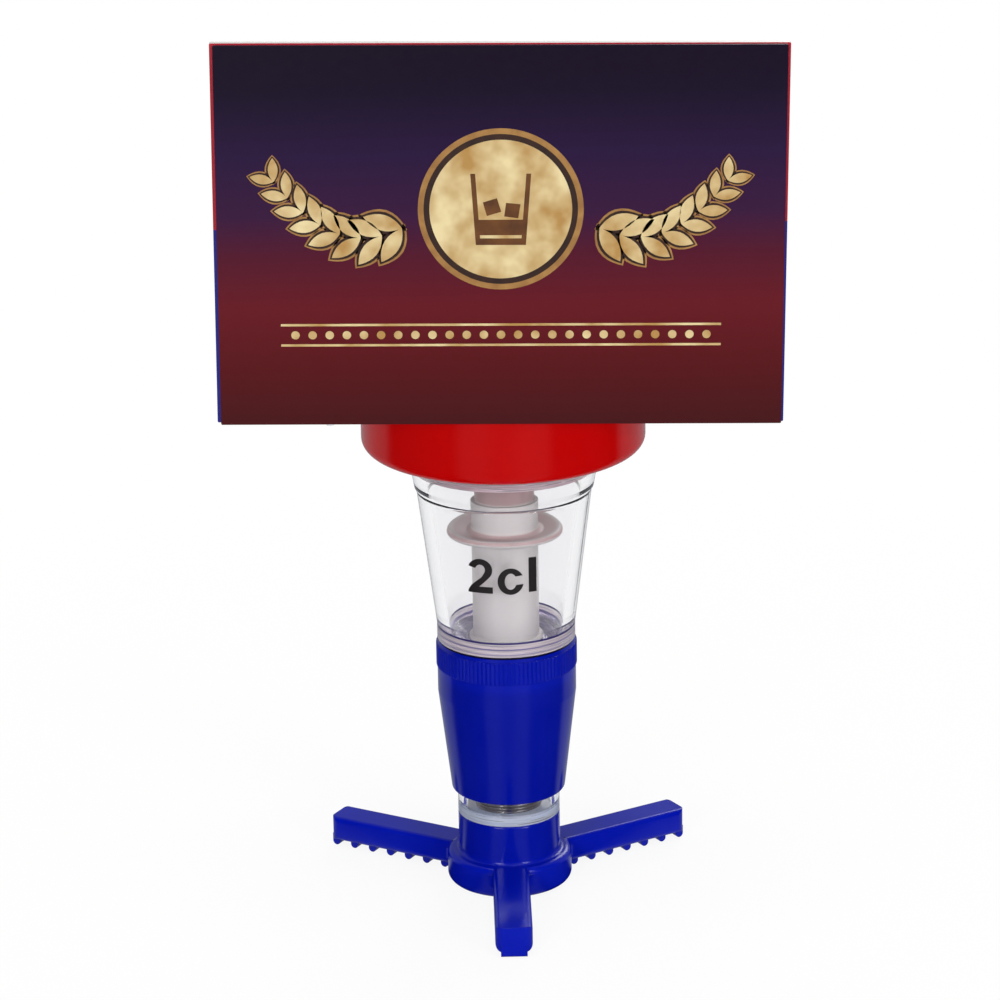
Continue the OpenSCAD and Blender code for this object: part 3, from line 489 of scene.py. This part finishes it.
# The film's faint orange peel has waves of about 1.2 mm.
peel = add(tree, "ShaderNodeTexNoise", {"Vector": where, "Scale": 1 / (1.2 * MM), "Detail": 2})
bump = add(tree, "ShaderNodeBump", {"Height": peel.outputs[0], "Strength": 0.05, "Distance": 0.02 * MM})
gloss = add(tree, "ShaderNodeMapRange", {"Value": peel.outputs[0], "To Min": 0.3, "To Max": 0.4})
shader = add(tree, "ShaderNodeBsdfPrincipled", {
    "Base Color": shade.outputs[0], "Roughness": gloss.outputs[0], "IOR": 1.49, "Specular IOR Level": 0.24,
    "Normal": bump.outputs[0]})
add(tree, "ShaderNodeOutputMaterial", {"Surface": shader.outputs[0]})
dress(card, "sign_card")


# Printed ornament: a gilt medallion with a tumbler, leaf sprays on both sides and a beaded rule below,
# screen-printed on the card in tan, brown and gold, one film of ink on the other.
def ink_film(name, deep, pale, patch_mm, rough):
    """Screen ink: a thin satin film, cloudy where the squeegee left more or less of it."""
    material, tree, where = blank(name)
    cloud = add(tree, "ShaderNodeTexNoise", {"Vector": where, "Scale": 1 / (patch_mm * MM), "Detail": 3})
    spread = add(tree, "ShaderNodeMapRange", {
        "Value": cloud.outputs[0], "From Min": 0.35, "From Max": 0.65})
    tone = add(tree, "ShaderNodeMix", {0: spread.outputs[0], 6: linear(deep), 7: linear(pale)},
               data_type="RGBA")
    shader = add(tree, "ShaderNodeBsdfPrincipled", {"Base Color": tone.outputs[2], "Roughness": rough})
    add(tree, "ShaderNodeOutputMaterial", {"Surface": shader.outputs[0]})
    return material


tan = ink_film("screen_ink_tan", "#9A6C36", "#B08245", patch_mm=3, rough=0.45)
brown = ink_film("screen_ink_brown", "#2A120A", "#3A1C10", patch_mm=3, rough=0.45)
gilt = ink_film("screen_ink_gilt", "#B98D4B", "#EEDBA6", patch_mm=9, rough=0.4)
umber = ink_film("screen_ink_umber", "#5A3212", "#74451A", patch_mm=4, rough=0.4)
card_shift, card_front, card_turn = 0.1 * MM, -36.45 * MM, math.radians(0.75)
on_card = (Matrix.Translation((card_shift, card_front, card_middle))
           @ Matrix.Rotation(card_turn, 4, "Y") @ Matrix.Rotation(math.radians(90), 4, "X"))
films = [tan, brown, gilt, umber]
film_gap, film_step, film_t = 0.005, 0.025, 0.02


def laid(film):
    """Where a film of ink lies: the card's frame, with each film on the one before."""
    return on_card @ Matrix.Translation((0, 0, (film_gap + film_step * films.index(film)) * MM))


def inked(name, outlines, film):
    """One film of flat shapes, given in millimetres from the card's middle."""
    made = printed(name, outlines, lambda p, up: laid(film) @ Vector((p[0] * MM, p[1] * MM, up * MM)),
                   lifts=(0, film_t))
    made.data.materials.append(film)


medal_middle, corners = (0, 6), 96


def disc(r):
    """The outline of a round film about the medallion's middle."""
    return oval(medal_middle, r, r, 0, 360 - 360 / corners, corners - 1)


inked("medallion_rim", [disc(17.2)], tan)
inked("medallion_ground", [disc(16)], brown)
inked("medallion_face", [disc(14.8)], gilt)
left_wall = [(-6.3, 13.6), (-5.3, 13.6), (-4.2, -1.6), (-5.2, -1.6)]
right_wall = [(5.3, 13.6), (6.3, 13.6), (5.2, -1.6), (4.2, -1.6)]
foot = [(-4.2, -1.6), (4.2, -1.6), (4.3, -0.2), (-4.3, -0.2)]
drink = [(-4.6, 3.8), (4.6, 3.8), (4.38, 0.5), (-4.38, 0.5)]
ice_cubes = [[(-2.9, 4.6), (0.1, 5.5), (-0.8, 8.4), (-3.7, 7.5)],
             [(0.7, 4.5), (3.6, 4.1), (4.1, 7.1), (1.1, 7.4)]]
inked("tumbler_print", [left_wall, right_wall, foot, drink, *ice_cubes], umber)

spray, sizes = tree_for("leaf_spray", ["Leaf length", "Leaf width", "Leaf spread", "Border", "Film"])
# A unit disc, drawn in to two points, is stretched to one leaf with a border round it.
round_leaf = add(spray, "GeometryNodeMeshCylinder", {"Vertices": 24, "Radius": 1, "Depth": 1})
corner = add(spray, "ShaderNodeSeparateXYZ", {"Vector": add(spray, "GeometryNodeInputPosition").outputs[0]})
wide = add(spray, "ShaderNodeMath", {0: corner.outputs["Y"]}, operation="ABSOLUTE")
drawn = add(spray, "ShaderNodeMath", {0: wide.outputs[0], 1: corner.outputs["Y"]}, operation="MULTIPLY")
pointed = add(spray, "GeometryNodeSetPosition", {
    "Geometry": round_leaf.outputs["Mesh"],
    "Position": add(spray, "ShaderNodeCombineXYZ", {
        "X": corner.outputs["X"], "Y": drawn.outputs[0], "Z": corner.outputs["Z"]}).outputs[0]})
half_l = add(spray, "ShaderNodeMath", {0: sizes["Leaf length"], 1: 0.5}, operation="MULTIPLY")
long = add(spray, "ShaderNodeMath", {0: half_l.outputs[0], 1: sizes["Border"]}, operation="ADD")
half_w = add(spray, "ShaderNodeMath", {0: sizes["Leaf width"], 1: 0.5}, operation="MULTIPLY")
broad = add(spray, "ShaderNodeMath", {0: half_w.outputs[0], 1: sizes["Border"]}, operation="ADD")
half_film = add(spray, "ShaderNodeMath", {0: sizes["Film"], 1: 0.5}, operation="MULTIPLY")
leaf = add(spray, "GeometryNodeTransform", {
    "Geometry": pointed.outputs[0],
    "Scale": add(spray, "ShaderNodeCombineXYZ", {
        "X": long.outputs[0], "Y": broad.outputs[0], "Z": sizes["Film"]}).outputs[0],
    "Translation": add(spray, "ShaderNodeCombineXYZ", {
        "X": half_l.outputs[0], "Z": half_film.outputs[0]}).outputs[0]})
stations = add(spray, "GeometryNodeResampleCurve", {"Curve": sizes["Geometry"], "Count": 8})
along = add(spray, "FunctionNodeAlignRotationToVector", {
    "Vector": add(spray, "GeometryNodeInputTangent").outputs[0]}, axis="X")
shrink = add(spray, "ShaderNodeMapRange", {
    "Value": add(spray, "GeometryNodeSplineParameter").outputs["Factor"], "To Min": 1.0, "To Max": 0.6})
foliage = add(spray, "GeometryNodeJoinGeometry")
for side in (1, -1):
    angle = add(spray, "ShaderNodeMath", {0: sizes["Leaf spread"], 1: side}, operation="MULTIPLY")
    turn = add(spray, "FunctionNodeEulerToRotation", {
        "Euler": add(spray, "ShaderNodeCombineXYZ", {"Z": angle.outputs[0]}).outputs[0]})
    aim = add(spray, "FunctionNodeRotateRotation", {
        "Rotation": along.outputs[0], "Rotate By": turn.outputs[0]}, rotation_space="LOCAL")
    leaves = add(spray, "GeometryNodeInstanceOnPoints", {
        "Points": stations.outputs[0], "Instance": leaf.outputs[0], "Rotation": aim.outputs[0],
        "Scale": add(spray, "ShaderNodeCombineXYZ", {
            "X": shrink.outputs[0], "Y": shrink.outputs[0], "Z": 1}).outputs[0]})
    spray.links.new(leaves.outputs[0], foliage.inputs[0])
plain = add(spray, "GeometryNodeRealizeInstances", {"Geometry": foliage.outputs[0]})
coated = add(spray, "GeometryNodeSetMaterial", {"Geometry": plain.outputs[0], "Material": gilt})
add(spray, "NodeGroupOutput", {"Geometry": coated.outputs[0]})


def stems(name, runs):
    """Open runs of points in millimetres, as one curve."""
    curve = bpy.data.curves.new(name, "CURVE")
    curve.dimensions = "3D"
    for run in runs:
        line = curve.splines.new("POLY")
        line.points.add(len(run) - 1)
        for point, (x, y) in zip(line.points, run):
            point.co = (x * MM, y * MM, 0, 1)
    return curve


bow_foot, bow_bend, bow_tip, bow_steps = (20.5, 2), (34, -5), (47, 12), 20


def on_bow(t):
    """A point of the right spray's stem, which curves from foot to tip and is drawn to its bend."""
    return [(1 - t) ** 2 * a + 2 * t * (1 - t) * b + t ** 2 * c
            for a, b, c in zip(bow_foot, bow_bend, bow_tip)]


bow = [on_bow(i / bow_steps) for i in range(bow_steps + 1)]
bows = [bow, [(-x, y) for x, y in bow]]
for film, border in ((tan, 1.1), (brown, 0.6), (gilt, 0)):
    made = grown("leaf_spray_" + film.name.split("_")[-1], stems("spray_stems", bows), spray, {
        "Leaf length": 8.4 * MM, "Leaf width": 3.4 * MM, "Leaf spread": math.radians(38),
        "Border": border * MM, "Film": film_t * MM})
    made.data.transform(laid(film))
    made.data.materials.clear()
    made.data.materials.append(film)
    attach(made, "measure")

row, sizes = tree_for("beaded_rule", ["Bead radius", "Film"])
bead = add(row, "GeometryNodeMeshCylinder", {
    "Vertices": 16, "Radius": sizes["Bead radius"], "Depth": sizes["Film"]})
lifted = add(row, "ShaderNodeMath", {0: sizes["Film"], 1: 0.5}, operation="MULTIPLY")
raised = add(row, "GeometryNodeTransform", {
    "Geometry": bead.outputs["Mesh"],
    "Translation": add(row, "ShaderNodeCombineXYZ", {"Z": lifted.outputs[0]}).outputs[0]})
places = add(row, "GeometryNodeResampleCurve", {"Curve": sizes["Geometry"], "Count": 25})
beads = add(row, "GeometryNodeInstanceOnPoints", {
    "Points": places.outputs[0], "Instance": raised.outputs[0]})
plain = add(row, "GeometryNodeRealizeInstances", {"Geometry": beads.outputs[0]})
coated = add(row, "GeometryNodeSetMaterial", {"Geometry": plain.outputs[0], "Material": gilt})
add(row, "NodeGroupOutput", {"Geometry": coated.outputs[0]})
rule_y, beads_half = -21, 43
made = grown("beaded_rule", stems("rule_line", [[(-beads_half, rule_y), (beads_half, rule_y)]]), row,
             {"Bead radius": 0.9 * MM, "Film": film_t * MM})
made.data.transform(laid(gilt))
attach(made, "measure")
rule_half, rule_off, line_half = 46, 2.2, 0.25
rules = []
for off in (-rule_off, rule_off):
    under, over = rule_y + off - line_half, rule_y + off + line_half
    rules.append([(-rule_half, under), (rule_half, under), (rule_half, over), (-rule_half, over)])
inked("rule_lines", rules, gilt)


# Studio: a round white table top in a dim room. Behind the pourer hangs a white sheet, in front stands a
# broad dim panel with two soft boxes, one more stands behind, and one hangs above.
def room(tree, toward, tones):
    """Brightness of the room by direction, from straight behind (0) to straight in front (1)."""
    level = add(tree, "ShaderNodeVectorMath", {0: toward, 1: (1, 1, 0)}, operation="MULTIPLY")
    unit = add(tree, "ShaderNodeVectorMath", {0: level.outputs[0]}, operation="NORMALIZE")
    front = add(tree, "ShaderNodeVectorMath", {0: unit.outputs[0], 1: (0, -1, 0)}, operation="DOT_PRODUCT")
    share = add(tree, "ShaderNodeMapRange", {"Value": front.outputs["Value"], "From Min": -1})
    return add(tree, "ShaderNodeValToRGB", {"Fac": share.outputs[0]}, tones).outputs[0]


# Tones by direction: what shines in the gloss, and what is seen through the clear pieces.
in_gloss = [(0, "#989CA2"), (0.12, "#A8ACB2"), (0.35, "#B0B4BA"), (0.43, "#202224"), (0.5, "#101012"),
            (0.88, "#101012"), (0.93, "#90959A"), (0.98, "#90959A"), (1, "#707478")]
in_clear = [(0, "#FFFFFF"), (0.4, "#FFFFFF"), (0.55, "#DAD6E2"), (1, "#CFC9D6")]
table_r = 0.6
top_shape = bmesh.new()
bmesh.ops.create_circle(top_shape, cap_ends=True, segments=96, radius=table_r)
floor_mesh = bpy.data.meshes.new("table_top")
top_shape.to_mesh(floor_mesh)
top_shape.free()
floor = bpy.data.objects.new("table_top", floor_mesh)
bpy.context.collection.objects.link(floor)
paper, tree, where = blank("white_table_laminate")
path = add(tree, "ShaderNodeLightPath")
# The camera sees it white, with the shadow fading out towards the edge. Gloss and clear pieces show the
# tones of the room in its place, and all other light meets plain laminate.
matt = add(tree, "ShaderNodeBsdfDiffuse", {"Color": linear("#E2E2E2")})
bright = add(tree, "ShaderNodeBsdfDiffuse", {"Color": linear("#FFFFFF")})
glow = add(tree, "ShaderNodeEmission", {"Color": linear("#FFFFFF"), "Strength": 1})
away = add(tree, "ShaderNodeVectorMath", {0: where}, operation="LENGTH")
shade_r, white_r = 0.04, 0.3
fade = add(tree, "ShaderNodeMapRange", {
    "Value": away.outputs["Value"], "From Min": shade_r, "From Max": white_r, "To Min": 0.9})
seen = add(tree, "ShaderNodeMixShader", {0: fade.outputs[0], 1: bright.outputs[0], 2: glow.outputs[0]})
shine = add(tree, "ShaderNodeEmission", {"Color": room(tree, where, in_gloss), "Strength": 1})
through = add(tree, "ShaderNodeEmission", {"Color": room(tree, where, in_clear), "Strength": 1})
glossy = add(tree, "ShaderNodeMixShader", {
    0: path.outputs["Is Glossy Ray"], 1: matt.outputs[0], 2: shine.outputs[0]})
passed = add(tree, "ShaderNodeMixShader", {
    0: path.outputs["Is Transmission Ray"], 1: glossy.outputs[0], 2: through.outputs[0]})
surface = add(tree, "ShaderNodeMixShader", {
    0: path.outputs["Is Camera Ray"], 1: passed.outputs[0], 2: seen.outputs[0]})
add(tree, "ShaderNodeOutputMaterial", {"Surface": surface.outputs[0]})
floor_mesh.materials.append(paper)

world = bpy.data.worlds.new("studio")
bpy.context.scene.world = world
world.use_nodes = True
tree = world.node_tree
tree.nodes.clear()
path = add(tree, "ShaderNodeLightPath")
around = add(tree, "ShaderNodeTexCoord").outputs["Generated"]
fill = 0.25
glossy = add(tree, "ShaderNodeMix", {
    0: path.outputs["Is Glossy Ray"], 6: (fill, fill, fill, 1), 7: room(tree, around, in_gloss)},
    data_type="RGBA")
passed = add(tree, "ShaderNodeMix", {
    0: path.outputs["Is Transmission Ray"], 6: glossy.outputs[2], 7: room(tree, around, in_clear)},
    data_type="RGBA")
level = add(tree, "ShaderNodeMix", {
    0: path.outputs["Is Camera Ray"], 6: passed.outputs[2], 7: (1, 1, 1, 1)}, data_type="RGBA")
sky = add(tree, "ShaderNodeBackground", {"Color": level.outputs[2], "Strength": 1})
add(tree, "ShaderNodeOutputWorld", {"Surface": sky.outputs[0]})

middle = Vector((0, 0, 0.1))
# Each soft box has its place and the length of its side in metres, and its watts.
soft_boxes = [("left", (-0.46, -1.05, 0.4), 0.3, 4.1), ("right", (0.7, -0.95, 0.4), 0.3, 4.8),
              ("back", (0.35, 1.05, 0.7), 0.5, 3.4), ("top", (0, -0.1, 1.2), 0.8, 6.5)]
for name, spot, side, watts in soft_boxes:
    lamp = bpy.data.lights.new("soft_box_" + name, "AREA")
    lamp.shape = "SQUARE"
    lamp.size = side
    lamp.energy = watts
    holder = bpy.data.objects.new("soft_box_" + name, lamp)
    holder.location = spot
    holder.rotation_euler = (middle - Vector(spot)).to_track_quat("-Z", "Y").to_euler()
    bpy.context.collection.objects.link(holder)


# Camera: a long lens some 0.9 m in front of the pourer and higher than its sign, tipped down, and turned
# by just under a degree.
lens = bpy.data.cameras.new("camera")
lens.lens, lens.sensor_width = 149.54, 36
lens.clip_start, lens.clip_end = 0.05, 20
camera = bpy.data.objects.new("camera", lens)
eye, tip_down, roll = (-0.94 * MM, -871.9 * MM, 381 * MM), 18.45, -0.91
camera.matrix_world = (Matrix.Translation(eye) @ Matrix.Rotation(math.radians(90 - tip_down), 4, "X")
                       @ Matrix.Rotation(math.radians(roll), 4, "Z"))
bpy.context.collection.objects.link(camera)
bpy.context.scene.camera = camera
bpy.context.scene.view_settings.view_transform = "Standard"
